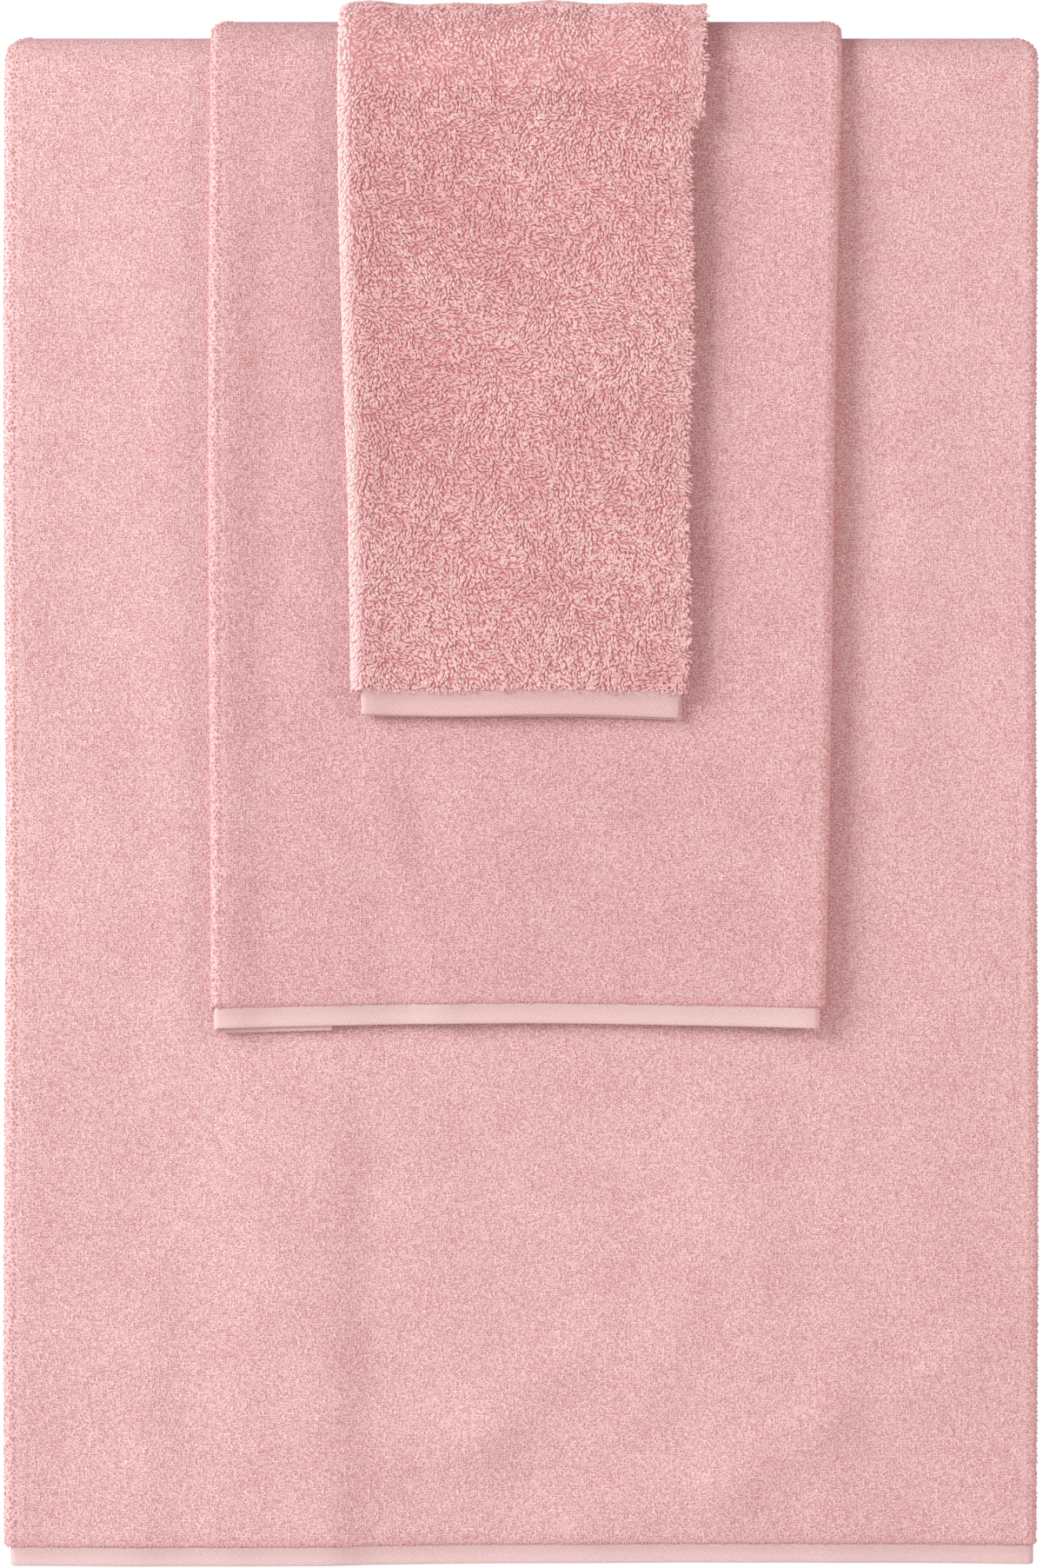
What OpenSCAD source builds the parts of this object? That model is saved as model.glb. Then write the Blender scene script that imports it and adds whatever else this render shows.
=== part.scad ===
// Bath towel set: a bath towel, a hand towel and a guest towel of one colour.
// Each towel is folded lengthwise, and the three hang nested over one rail.
// The origin is on the rail's axis at mid-width: X runs along the rail,
// the front drops face -Y, and Z points up.

/* [Rail and spacing] */
// Radius of the rail that the towels hang over
rail_r = 12.5; // [10:0.5:16]
// Free gap between one towel and the next
towel_gap = 0.3; // [0.3:0.1:1]
// Gap left between the two layers of a folded towel
layer_gap = 0.3; // [0.2:0.1:0.6]

/* [Bath towel] */
// Width of the folded bath towel
bath_w = 473; // [440:1:500]
// Front drop from the rail's axis to the hem's lower edge
bath_front = 681; // [600:1:720]
// Back drop from the rail's axis to the hem's lower edge
bath_back = 664; // [600:1:720]
// Width of the flap folded behind at the left, side hem included
bath_left_flap = 150; // [120:1:160]
// Width of the flap folded behind at the right, side hem included
bath_right_flap = 86; // [60:1:100]
// Thickness of one terry layer
bath_t = 3.25; // [3:0.05:4]
// Height of the end hems
bath_hem_h = 10; // [8:0.5:14]

/* [Hand towel] */
// Place of the left fold along the rail
hand_x = -143; // [-150:1:-130]
// Width of the folded hand towel
hand_w = 287; // [270:1:300]
// Front drop from the rail's axis to the hem's lower edge
hand_front = 434; // [380:1:480]
// Back drop from the rail's axis to the hem's lower edge
hand_back = 388; // [340:1:440]
// Width of the flap folded behind at the left, side hem included
hand_left_flap = 56; // [40:1:80]
// Width of the flap folded behind at the right, side hem included
hand_right_flap = 165; // [120:1:190]
// Thickness of one terry layer
hand_t = 3.25; // [3:0.05:4]
// Height of the end hems
hand_hem_h = 10.5; // [8:0.5:14]

/* [Guest towel] */
// Place of the left fold along the rail
guest_x = -84; // [-95:1:-70]
// Width of the towel, folded once in half
guest_w = 170; // [150:1:180]
// Front drop from the rail's axis to the hem's lower edge
guest_front = 292; // [250:1:320]
// Back drop from the rail's axis to the hem's lower edge
guest_back = 104; // [90:1:160]
// Thickness of one long-pile layer
guest_t = 4.05; // [3.5:0.05:5]
// Height of the end hems
guest_hem_h = 12.4; // [9:0.1:15]

/* [Hems and thread] */
// Thickness of an end hem: three plies of flat weave
hem_t = 2.2; // [1.8:0.1:2.6]
// Width of the turned hem along each long edge
side_hem_w = 7; // [5:0.5:9]
// Thickness of a side hem
side_hem_t = 1.8; // [1.4:0.1:2.4]
// Diameter of the sewing thread
thread_d = 0.4; // [0.3:0.05:0.5]
// Distance from a hem's sewn edge to its row of stitches
stitch_in = 1.5; // [1:0.1:2.5]

/* [Care labels] */
// Width of a label
label_w = 30; // [20:1:40]
// Height of a label
label_h = 18; // [14:1:25]
// Thickness of a label
label_t = 0.7; // [0.5:0.1:0.8]
// Height of a label above the hem it is sewn beside
label_up = 12; // [5:1:20]
// Distance of a label from the towel's right fold or edge
label_in = 30; // [15:1:40]

/* [Hidden] */
$fn = 96;
eps = 1;

// How far one towel reaches out from the layer it rests on
bath_depth = 2 * bath_t + layer_gap;
hand_depth = 2 * hand_t + layer_gap;
hand_r = rail_r + bath_depth + towel_gap;
guest_r = hand_r + hand_depth + towel_gap;

// One row for each towel, read with the functions below:
// left fold, right fold, inner radius, layer thickness, front and back drops,
// left and right flaps, hem height, and how far the hem is drawn in at each side.
// A right flap of 0 is an open edge.
bath = [-bath_w / 2, bath_w / 2, rail_r, bath_t, bath_front, bath_back,
        bath_left_flap, bath_right_flap, bath_hem_h, 1.5, 0.5];
hand = [hand_x, hand_x + hand_w, hand_r, hand_t, hand_front, hand_back,
        hand_left_flap, hand_right_flap, hand_hem_h, 1, 7];
guest = [guest_x, guest_x + guest_w, guest_r, guest_t, guest_front, guest_back,
         guest_w, 0, guest_hem_h, 9, 9];

function left(s) = s[0];
function right(s) = s[1];
function seat_r(s) = s[2];
function layer(s) = s[3];
function front_drop(s) = s[4];
function back_drop(s) = s[5];
function left_flap(s) = s[6];
function right_flap(s) = s[7];
function hem_h(s) = s[8];
function draw_left(s) = s[9];
function draw_right(s) = s[10];

// A fold turns about mid_r, and the cloth's middle line runs at bend from it
function bend(s) = (layer(s) + layer_gap) / 2;
function mid_r(s) = seat_r(s) + layer(s) + layer_gap / 2;
function outer_r(s) = seat_r(s) + 2 * layer(s) + layer_gap;
function fold_out(s) = bend(s) + layer(s) / 2;
function has_right_fold(s) = right_flap(s) > 0;

// Profiles are drawn as (distance from the rail's axis, place along the rail)

// Half ring for a fold at y = 0; turn is -1 for a left fold and 1 for a right one
module fold_ring(s, t, turn) {
    difference() {
        circle(bend(s) + t / 2);
        circle(bend(s) - t / 2);
        translate([-layer(s) * 2, turn > 0 ? -layer(s) * 4 : 0])
            square(layer(s) * 4);
    }
}

// The sheet of thickness t: face layer, folds and flaps, drawn in at each side
// and ending short of its long edges by edge
module folded_profile(s, t, in_left, in_right, edge) {
    a = left(s) + fold_out(s) + in_left;
    open_end = right(s) - in_right - edge;
    b = has_right_fold(s) ? right(s) - fold_out(s) - in_right : open_end;
    flap_end = has_right_fold(s) ? left(s) + left_flap(s) - edge : open_end;
    translate([mid_r(s) + bend(s) - t / 2, a]) square([t, b - a]);
    translate([mid_r(s), a]) fold_ring(s, t, -1);
    translate([mid_r(s) - bend(s) - t / 2, a]) square([t, flap_end - a]);
    if (has_right_fold(s)) {
        flap_start = right(s) - right_flap(s) + edge;
        translate([mid_r(s), b]) fold_ring(s, t, 1);
        translate([mid_r(s) - bend(s) - t / 2, flap_start])
            square([t, b - flap_start]);
    }
}

// A profile run down from z = top to z = bottom on the front drop
module down_front(top, bottom) {
    translate([0, 0, -bottom]) rotate([0, 0, -90])
        linear_extrude(bottom - top) children();
}

module down_back(top, bottom) {
    mirror([0, 1, 0]) down_front(top, bottom) children();
}

// A profile run up the front drop, over the rail and down the back drop
module over_rail(front, back) {
    down_front(0, front) children();
    rotate([90, 0, 90]) rotate_extrude(angle = 180) children();
    down_back(0, back) children();
}

module terry(s) {
    over_rail(front_drop(s) - hem_h(s), back_drop(s) - hem_h(s))
        folded_profile(s, layer(s), 0, 0, side_hem_w);
}

// The end hem: flat weave below the pile, over the whole folded width
module hem_profile(s, t) {
    folded_profile(s, t, draw_left(s), draw_right(s), 0);
}

module front_hem(s) {
    down_front(front_drop(s) - hem_h(s), front_drop(s)) hem_profile(s, hem_t);
}

module back_hem(s) {
    down_back(back_drop(s) - hem_h(s), back_drop(s)) hem_profile(s, hem_t);
}

// A strip beside the pile: x is its first edge, side is 1 on the face layer
// and -1 on a flap
module edge_strip(s, x, side, w, t) {
    translate([mid_r(s) + side * bend(s) - t / 2, x]) square([t, w]);
}

module side_hem(s, x, side) {
    over_rail(front_drop(s) - hem_h(s), back_drop(s) - hem_h(s))
        edge_strip(s, x, side, side_hem_w, side_hem_t);
}

// Thread on both faces of a side hem, as one line of lock stitch
module side_stitching(s, x, side) {
    over_rail(front_drop(s) - hem_h(s), back_drop(s) - hem_h(s))
        difference() {
            edge_strip(s, x, side, thread_d, side_hem_t + 2 * thread_d);
            translate([0, -eps]) edge_strip(s, x, side, thread_d + 2 * eps, side_hem_t);
        }
}

// Thread on both faces of an end hem, below the pile's edge
module end_stitching(s, drop) {
    top = drop - hem_h(s) + stitch_in;
    down_front(top, top + thread_d)
        difference() {
            hem_profile(s, hem_t + 2 * thread_d);
            hem_profile(s, hem_t);
        }
}

module hem_stitching(s, x1, side1, x2) {
    end_stitching(s, front_drop(s));
    mirror([0, 1, 0]) end_stitching(s, back_drop(s));
    side_stitching(s, x1, side1);
    side_stitching(s, x2, -1);
}

// A blank satin tape, sewn flat on the back drop above the hem
module care_label(s) {
    translate([right(s) - label_in - label_w, outer_r(s),
               hem_h(s) + label_up - back_drop(s)])
        cube([label_w, label_t, label_h]);
}

// First edge of each side hem
bath_left_x = left(bath) + left_flap(bath) - side_hem_w;
bath_right_x = right(bath) - right_flap(bath);
hand_left_x = left(hand) + left_flap(hand) - side_hem_w;
hand_right_x = right(hand) - right_flap(hand);
guest_open_x = right(guest) - side_hem_w;

module bath_terry() color("#E7BABA") terry(bath);
module bath_front_hem() color("#E7C3C1") front_hem(bath);
module bath_back_hem() color("#E7C3C1") back_hem(bath);
module bath_left_side_hem() color("#E3BDBB") side_hem(bath, bath_left_x, -1);
module bath_right_side_hem() color("#E3BDBB") side_hem(bath, bath_right_x, -1);
module bath_hem_stitching() color("#C98F92") {
    hem_stitching(bath, bath_left_x + stitch_in, -1, bath_right_x + side_hem_w - stitch_in);
}
module bath_care_label() color("#F6F1EE") care_label(bath);

module hand_terry() color("#E4B0B1") terry(hand);
module hand_front_hem() color("#E9C4C3") front_hem(hand);
module hand_back_hem() color("#E9C4C3") back_hem(hand);
module hand_left_side_hem() color("#E3BDBB") side_hem(hand, hand_left_x, -1);
module hand_right_side_hem() color("#E3BDBB") side_hem(hand, hand_right_x, -1);
module hand_hem_stitching() color("#C98F92") {
    hem_stitching(hand, hand_left_x + stitch_in, -1, hand_right_x + side_hem_w - stitch_in);
}
module hand_care_label() color("#F6F1EE") care_label(hand);

module guest_terry() color("#E0A7A7") terry(guest);
module guest_front_hem() color("#E7BDBD") front_hem(guest);
module guest_back_hem() color("#E7BDBD") back_hem(guest);
module guest_face_side_hem() color("#E3B6B5") side_hem(guest, guest_open_x, 1);
module guest_flap_side_hem() color("#E3B6B5") side_hem(guest, guest_open_x, -1);
module guest_hem_stitching() color("#C98F92") {
    hem_stitching(guest, guest_open_x + stitch_in, 1, guest_open_x + stitch_in);
}
module guest_care_label() color("#F6F1EE") care_label(guest);

bath_terry();
bath_front_hem();
bath_back_hem();
bath_left_side_hem();
bath_right_side_hem();
bath_hem_stitching();
bath_care_label();
hand_terry();
hand_front_hem();
hand_back_hem();
hand_left_side_hem();
hand_right_side_hem();
hand_hem_stitching();
hand_care_label();
guest_terry();
guest_front_hem();
guest_back_hem();
guest_face_side_hem();
guest_flap_side_hem();
guest_hem_stitching();
guest_care_label();
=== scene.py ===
import math
import bpy
import numpy as np
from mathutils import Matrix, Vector, noise


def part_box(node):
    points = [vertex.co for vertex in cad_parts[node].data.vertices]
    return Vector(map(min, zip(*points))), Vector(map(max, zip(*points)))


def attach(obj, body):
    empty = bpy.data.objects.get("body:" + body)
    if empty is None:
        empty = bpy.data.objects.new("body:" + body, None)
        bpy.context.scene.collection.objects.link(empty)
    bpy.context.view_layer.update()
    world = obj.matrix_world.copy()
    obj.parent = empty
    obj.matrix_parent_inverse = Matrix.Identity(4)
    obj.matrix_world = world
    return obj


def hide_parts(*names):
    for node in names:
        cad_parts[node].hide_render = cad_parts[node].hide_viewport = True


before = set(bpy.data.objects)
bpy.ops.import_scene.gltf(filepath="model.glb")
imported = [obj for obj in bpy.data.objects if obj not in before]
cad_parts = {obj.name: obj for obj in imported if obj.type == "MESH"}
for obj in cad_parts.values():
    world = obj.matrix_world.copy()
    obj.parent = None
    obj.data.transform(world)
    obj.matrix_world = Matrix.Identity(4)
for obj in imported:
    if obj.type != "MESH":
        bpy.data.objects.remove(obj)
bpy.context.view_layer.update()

# Bath towel set: three terry towels, folded lengthwise and hung one over another on a rail.
# Metres throughout. X runs along the rail, the front drops face -Y, +Z is up.

mm = 0.001
rng = np.random.default_rng(7)


# ---- small helpers ----

def deselectAll():
    if bpy.context.object and bpy.context.object.mode != "OBJECT":
        bpy.ops.object.mode_set(mode="OBJECT")
    bpy.ops.object.select_all(action="DESELECT")


def makeActive(obj):
    deselectAll()
    obj.select_set(True)
    bpy.context.view_layer.objects.active = obj


def applyModifiers(obj):
    makeActive(obj)
    for modifier in list(obj.modifiers):
        bpy.ops.object.modifier_apply(modifier=modifier.name)


def editAll(obj, operation, **settings):
    makeActive(obj)
    bpy.ops.object.mode_set(mode="EDIT")
    bpy.ops.mesh.select_all(action="SELECT")
    operation(**settings)
    bpy.ops.object.mode_set(mode="OBJECT")


def smoothStep(low, high, x):
    t = np.clip((x - low) / (high - low), 0, 1)
    return t * t * (3 - 2 * t)


def bump(x, centre, width):
    return np.exp(-((x - centre) / width) ** 2)


def hexToLinear(code):
    parts = [int(code[i:i + 2], 16) / 255 for i in (1, 3, 5)]
    return [c / 12.92 if c <= 0.04045 else ((c + 0.055) / 1.055) ** 2.4 for c in parts] + [1]


def getCoords(mesh):
    flat = np.zeros(len(mesh.vertices) * 3)
    mesh.vertices.foreach_get("co", flat)
    return flat.reshape(-1, 3)


def setCoords(mesh, points):
    mesh.vertices.foreach_set("co", np.ascontiguousarray(points, dtype=np.float32).ravel())
    mesh.update()


def perlin(points, scale, seed):
    shift = Vector((seed * 3.7, seed * 1.3, seed * 7.1))
    return np.array([noise.noise(Vector(p) / scale + shift) for p in points])


# ---- camera, light and floor ----

studio = {
    "distance": 3.0,         # camera to the front of the towels
    "viewWidth": 0.478,      # width of the view at the towels
    "viewTop": 0.0364,       # height of the view's top edge
    "imageShape": (1200, 1804),
    "sensorWidth": 36,
    "keyPlace": (-2.6, -1.65, 0.95),
    "keySize": 1.8,
    "keyPower": 96,
    "fillPlace": (2.6, -1.8, 0.3),
    "fillSize": 1.6,
    "fillPower": 32.5,
    "fillTint": "#FFE6E6",   # it comes by way of the pink towels and a warm wall
    "roomTint": "#FFE1E1",   # light that has bounced round a pale room
    "worldStrength": 0.34,
    "floorHeight": -1.2,
    "floorSize": 5.0,
}


def aimAt(obj, target):
    direction = Vector(target) - obj.location
    obj.rotation_euler = direction.to_track_quat("-Z", "Y").to_euler()


def addSoftLight(name, place, size, power, target, tint="#FFFFFF"):
    light = bpy.data.objects.new(name, bpy.data.lights.new(name, "AREA"))
    light.data.shape = "DISK"
    light.data.size = size
    light.data.energy = power
    light.data.color = hexToLinear(tint)[:3]
    light.location = place
    aimAt(light, target)
    bpy.context.scene.collection.objects.link(light)


def buildStudio():
    s = studio
    viewHeight = s["viewWidth"] * s["imageShape"][1] / s["imageShape"][0]
    middle = s["viewTop"] - viewHeight / 2
    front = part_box("bath_terry")[0].y
    camera = bpy.data.objects.new("camera", bpy.data.cameras.new("camera"))
    camera.location = (0, front - s["distance"], middle)
    camera.rotation_euler = (math.pi / 2, 0, 0)
    camera.data.sensor_fit = "HORIZONTAL"
    camera.data.sensor_width = s["sensorWidth"]
    camera.data.lens = s["sensorWidth"] * s["distance"] / s["viewWidth"]
    camera.data.clip_end = 50
    bpy.context.scene.collection.objects.link(camera)
    bpy.context.scene.camera = camera

    target = (0, 0, middle)
    addSoftLight("key_light", s["keyPlace"], s["keySize"], s["keyPower"], target)
    addSoftLight("fill_light", s["fillPlace"], s["fillSize"], s["fillPower"], target, s["fillTint"])

    world = bpy.data.worlds.new("soft_white_room")
    bpy.context.scene.world = world
    world.use_nodes = True
    tree = world.node_tree
    tree.nodes.clear()
    path = addNode(tree, "ShaderNodeLightPath")
    dim = addNode(tree, "ShaderNodeBackground",
                  {"Color": hexToLinear(s["roomTint"]), "Strength": s["worldStrength"]})
    seen = addNode(tree, "ShaderNodeBackground", {"Color": (1, 1, 1, 1), "Strength": 1.0})
    mixed = addNode(tree, "ShaderNodeMixShader",
                    {0: path.outputs["Is Camera Ray"], 1: dim.outputs[0], 2: seen.outputs[0]})
    addNode(tree, "ShaderNodeOutputWorld", {"Surface": mixed.outputs[0]})

    deselectAll()
    bpy.ops.mesh.primitive_plane_add(size=s["floorSize"], location=(0, 0, s["floorHeight"]))
    floor = bpy.context.object
    floor.name = "studio_floor"
    floor.data.materials.append(paintedFloor())

    view = bpy.context.scene.view_settings
    view.view_transform = "Standard"
    view.look = "None"


# ---- materials ----

def addNode(tree, kind, inputs=None, **settings):
    node = tree.nodes.new(kind)
    for name, value in settings.items():
        setattr(node, name, value)
    for key, value in (inputs or {}).items():
        if isinstance(value, bpy.types.NodeSocket):
            tree.links.new(value, node.inputs[key])
        else:
            node.inputs[key].default_value = value
    return node


def mathOf(tree, operation, *values):
    return addNode(tree, "ShaderNodeMath", dict(enumerate(values)), operation=operation).outputs[0]


def vectorOf(tree, operation, *values):
    return addNode(tree, "ShaderNodeVectorMath", dict(enumerate(values)), operation=operation).outputs[0]


def noiseOf(tree, place, size, detail, roughness=0.5, output=0):
    settings = {"Vector": place, "Scale": 1 / size, "Detail": detail, "Roughness": roughness}
    return addNode(tree, "ShaderNodeTexNoise", settings).outputs[output]


def remap(tree, value, start=(0.0, 1.0), end=(0.0, 1.0), smooth=False):
    # Turns the range start into the range end
    ranges = {"Value": value, "From Min": start[0], "From Max": start[1],
              "To Min": end[0], "To Max": end[1]}
    kind = "SMOOTHSTEP" if smooth else "LINEAR"
    return addNode(tree, "ShaderNodeMapRange", ranges, interpolation_type=kind).outputs[0]


def mixColour(tree, share, *colours):
    first, second = [hexToLinear(c) if isinstance(c, str) else c for c in colours]
    return addNode(tree, "ShaderNodeMix", {0: share, 6: first, 7: second}, data_type="RGBA").outputs[2]


def axesOf(tree, vector):
    return addNode(tree, "ShaderNodeSeparateXYZ", {0: vector}).outputs


def clothPlace(tree, size):
    # Place on the flat cloth, in millimetres
    uv = addNode(tree, "ShaderNodeUVMap", uv_map="cloth")
    return vectorOf(tree, "MULTIPLY", uv.outputs[0], (size[0] / mm, size[1] / mm, 0))


def objectWave(tree, size, distortion, direction):
    place = addNode(tree, "ShaderNodeTexCoord").outputs["Object"]
    settings = {"Vector": place, "Scale": 1 / (size * mm), "Distortion": distortion}
    return addNode(tree, "ShaderNodeTexWave", settings,
                   wave_type="BANDS", bands_direction=direction).outputs[0]


def newMaterial(name):
    material = bpy.data.materials.new(name)
    material.use_nodes = True
    tree = material.node_tree
    tree.nodes.clear()
    shader = addNode(tree, "ShaderNodeBsdfPrincipled")
    addNode(tree, "ShaderNodeOutputMaterial", {"Surface": shader.outputs[0]})
    return material, tree, shader


def setSurface(shader, roughness, specular=0.5, sheen=0.0):
    shader.inputs["Roughness"].default_value = roughness
    shader.inputs["Specular IOR Level"].default_value = specular
    shader.inputs["Sheen Weight"].default_value = sheen
    shader.inputs["Sheen Roughness"].default_value = 0.5


def colourAndRelief(tree, shader, colour, height, strength, depth, invert=False):
    # The relief's depth is in millimetres
    relief = addNode(tree, "ShaderNodeBump",
                     {"Height": height, "Strength": strength, "Distance": depth * mm}, invert=invert)
    tree.links.new(colour, shader.inputs["Base Color"])
    tree.links.new(relief.outputs[0], shader.inputs["Normal"])


def paintedFloor():
    # Matt white paint: even and pale, so the towels keep their own colour
    material, _, shader = newMaterial("matt_white_paint")
    shader.inputs["Base Color"].default_value = hexToLinear("#F2F0EE")
    setSurface(shader, 0.8)
    return material


def loopedTerry(name, flat, folds, look):
    # Looped cotton terry: short yarn loops in close columns, quite matt, with painted shade, a deeper
    # rose, in the pits between the loops
    material, tree, shader = newMaterial(name)
    cloth = clothPlace(tree, flat)
    # columns of loops wander over some centimetres, and each loop leans its own way
    drift = cloth
    for size, amount in ((look["wanderSize"], look["wander"]), (look["leanSize"], look["lean"])):
        wander = noiseOf(tree, cloth, size, 1.0, output="Color")
        push = vectorOf(tree, "SUBTRACT", wander, (0.5, 0.5, 0.5))
        drift = vectorOf(tree, "ADD", drift, vectorOf(tree, "MULTIPLY", push, (amount, amount, amount)))
    # neighbouring rows of loops slant opposite ways, so the columns zigzag slightly
    driftAcross, driftAlong, _ = axesOf(tree, drift)
    swing = mathOf(tree, "SINE", mathOf(tree, "MULTIPLY", driftAlong, math.pi / look["pitchAlong"]))
    slant = mathOf(tree, "MULTIPLY_ADD", swing, look["zigzag"], driftAcross)
    zigzag = addNode(tree, "ShaderNodeCombineXYZ", {0: slant, 1: driftAlong}).outputs[0]
    cells = vectorOf(tree, "MULTIPLY", zigzag, (1 / look["pitchAcross"], 1 / look["pitchAlong"], 0))
    # one pit between each four loops, some of them nearly closed
    pits = addNode(tree, "ShaderNodeTexVoronoi",
                   {"Vector": cells, "Scale": 1.0, "Randomness": look["scatter"]},
                   voronoi_dimensions="2D", feature="F1").outputs
    chance = addNode(tree, "ShaderNodeSeparateColor", {0: pits["Color"]}).outputs
    hole = remap(tree, pits["Distance"], (look["pitEnd"], look["pitStart"]))
    pit = mathOf(tree, "MULTIPLY", hole, remap(tree, chance[0], end=(look["pitShut"], 1.0)))
    # the pits open wider in patches some millimetres across
    patch = noiseOf(tree, cloth, look["patchSize"], 4.0, 0.7)
    opening = remap(tree, patch, look["patchRange"], (look["pitLeast"], look["pitMost"]))
    depth = mathOf(tree, "MULTIPLY", pit, opening)
    # beside the folds the columns part, which leaves short upright streaks
    across = axesOf(tree, cloth)[0]
    away = [mathOf(tree, "ABSOLUTE", mathOf(tree, "SUBTRACT", across, fold / mm)) for fold in folds]
    nearest = mathOf(tree, "MINIMUM", away[0], away[-1])
    beside = remap(tree, nearest, (look["streakStart"], look["streakReach"]),
                   (look["streak"], look["streakFar"]), smooth=True)
    tall = vectorOf(tree, "MULTIPLY", drift, (0.8 / look["pitchAcross"], 1 / look["streakLength"], 0))
    parted = remap(tree, noiseOf(tree, tall, 1.0, 2.0), look["streakRange"])
    streaked = mathOf(tree, "MULTIPLY_ADD", parted, beside, depth)
    # over a fold the loops spread and stand into the light, so the pits and their painted shade fade
    # there
    sunk = mathOf(tree, "MULTIPLY", streaked,
                  remap(tree, nearest, look["foldRange"], (look["foldPits"], 1.0), smooth=True))
    shade = mathOf(tree, "MULTIPLY_ADD", chance[1], look["loopTone"], sunk)
    # soft clouds of tone, and single plies of yarn that catch the light within each loop
    for place, size, detail, tone in ((cloth, look["cloudSize"], 3.0, look["cloud"]),
                                      (drift, look["plySize"], 1.0, look["plyTone"])):
        varied = remap(tree, noiseOf(tree, place, size, detail), (0.3, 0.7), (-tone, tone))
        shade = mathOf(tree, "ADD", shade, varied)
    # painted shade: the deeper a pit, the nearer its colour comes to the shaded rose of the gaps
    colour = mixColour(tree, shade, look["tip"], look["gap"])
    colourAndRelief(tree, shader, colour, sunk, look["bump"], look["loopHeight"], invert=True)
    setSurface(shader, 0.95, 0.1, look["sheen"])
    shader.inputs["Sheen Tint"].default_value = hexToLinear("#FFD9D6")
    return material


def flatTwill(name, flat, look):
    # Flat cotton twill, woven without pile: short floats in staggered slanting rows, nearly smooth
    material, tree, shader = newMaterial(name)
    cloth = clothPlace(tree, flat)
    across, along, _ = axesOf(tree, cloth)
    # the floats lie where a steep set of ribs crosses a shallow one
    ribs = []
    for wide, tall in look["ribs"]:
        over = mathOf(tree, "MULTIPLY", across, math.tau / wide)
        ribs.append(mathOf(tree, "SINE", mathOf(tree, "MULTIPLY_ADD", along, math.tau / tall, over)))
    weave = mathOf(tree, "ADD", *ribs)
    slub = noiseOf(tree, cloth, look["slubSize"], 3.0)
    height = mathOf(tree, "MULTIPLY_ADD", slub, look["slub"], weave)
    colour = mixColour(tree, remap(tree, height, look["toneRange"]), look["dark"], look["light"])
    colourAndRelief(tree, shader, colour, height, 0.3, 0.1)
    setSurface(shader, 0.9, 0.2, 0.1)
    return material


def longPile(name, look):
    # Long cut-and-loop cotton pile: soft strands with painted shade, a dusty rose, low down at the root,
    # and pale lit tips
    material, tree, shader = newMaterial(name)
    strandPlace = addNode(tree, "ShaderNodeUVMap", uv_map="cloth").outputs[0]
    tone, height, _ = axesOf(tree, strandPlace)
    # painted shade: each strand's colour runs from the shaded root colour low down to the lit tip colour
    climb = remap(tree, height, (look["rootEnd"], look["tipStart"]), smooth=True)
    shadedYarn = mixColour(tree, climb, look["rootShade"], look["tip"])
    # tone draws a strand further towards the painted root shade, partly at random and partly as painted
    # shade between tufts
    colour = mixColour(tree, remap(tree, tone, end=(0.0, look["variety"])), shadedYarn, look["rootShade"])
    place = addNode(tree, "ShaderNodeTexCoord").outputs["Object"]
    fibre = noiseOf(tree, place, look["fibre"] * mm, 2.0)
    colourAndRelief(tree, shader, colour, fibre, 0.3, 0.15)
    setSurface(shader, 0.95, 0.12)
    return material


def sewingThread(name):
    # Two-ply cotton thread, a shade deeper than the cloth, with a fine twist
    material, tree, shader = newMaterial(name)
    twist = objectWave(tree, 0.9, 1.0, "DIAGONAL")
    colourAndRelief(tree, shader, mixColour(tree, twist, "#C98E90", "#DDA9A9"), twist, 0.4, 0.08)
    setSurface(shader, 0.7)
    return material


def labelSatin(name):
    # Woven polyester satin tape: off-white, with a soft lengthwise gloss
    material, tree, shader = newMaterial(name)
    ribs = objectWave(tree, 1.6, 0.4, "X")
    colourAndRelief(tree, shader, mixColour(tree, ribs, "#ECE6E2", "#F8F4F1"), ribs, 0.25, 0.05)
    setSurface(shader, 0.45)
    return material


# ---- how a towel is folded and hung ----

# What the three towels share
layerGap = 0.3 * mm       # left between the two layers of a folded towel
overRail = 1.5 * mm       # how far the cloth stands off the rail's top
hemForward = 0.55 * mm    # how far the face's end hem stands off the flaps' hems
sideHem = {"width": 7 * mm, "step": 3.5 * mm, "thickness": 1.8 * mm, "rim": 0.6 * mm}

bathTowel = {
    "name": "bath", "body": "bath_towel", "flat": (0.70, 1.40), "layer": 3.25 * mm,
    "leftFlap": 150 * mm, "rightFlap": 86 * mm, "hem": 10 * mm, "hemLayer": 1.5 * mm,
    "hemIn": (1.8 * mm, 0.3 * mm), "columnStep": 5.0 * mm, "rowStep": 5.6 * mm,
    "cornerRound": 8 * mm, "flapSlip": (-0.8 * mm, -0.8 * mm),
    "puff": (0.9 * mm, 15 * mm), "sink": (2.2 * mm, (20 * mm, 30 * mm)), "waves": 1.8 * mm,
    "hemRidge": (0.55 * mm, 14 * mm), "crease": (0.8 * mm, 6 * mm), "cornerBack": 4.0 * mm,
}
handTowel = {
    "name": "hand", "body": "hand_towel", "flat": (0.50, 0.90), "layer": 3.25 * mm,
    "leftFlap": 56 * mm, "rightFlap": 165 * mm, "hem": 10.5 * mm, "hemLayer": 1.5 * mm,
    "hemIn": (0.6 * mm, 1.6 * mm), "columnStep": 4.0 * mm, "rowStep": 4.0 * mm,
    "cornerRound": 4 * mm, "flapSlip": (2.2 * mm, -0.8 * mm),
    "puff": (2.2 * mm, 15 * mm), "sink": (2.0 * mm, (40 * mm, 30 * mm)), "waves": 0.75 * mm,
    "rightLift": 0.9 * mm, "leftLift": 1.2 * mm,
}
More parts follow.
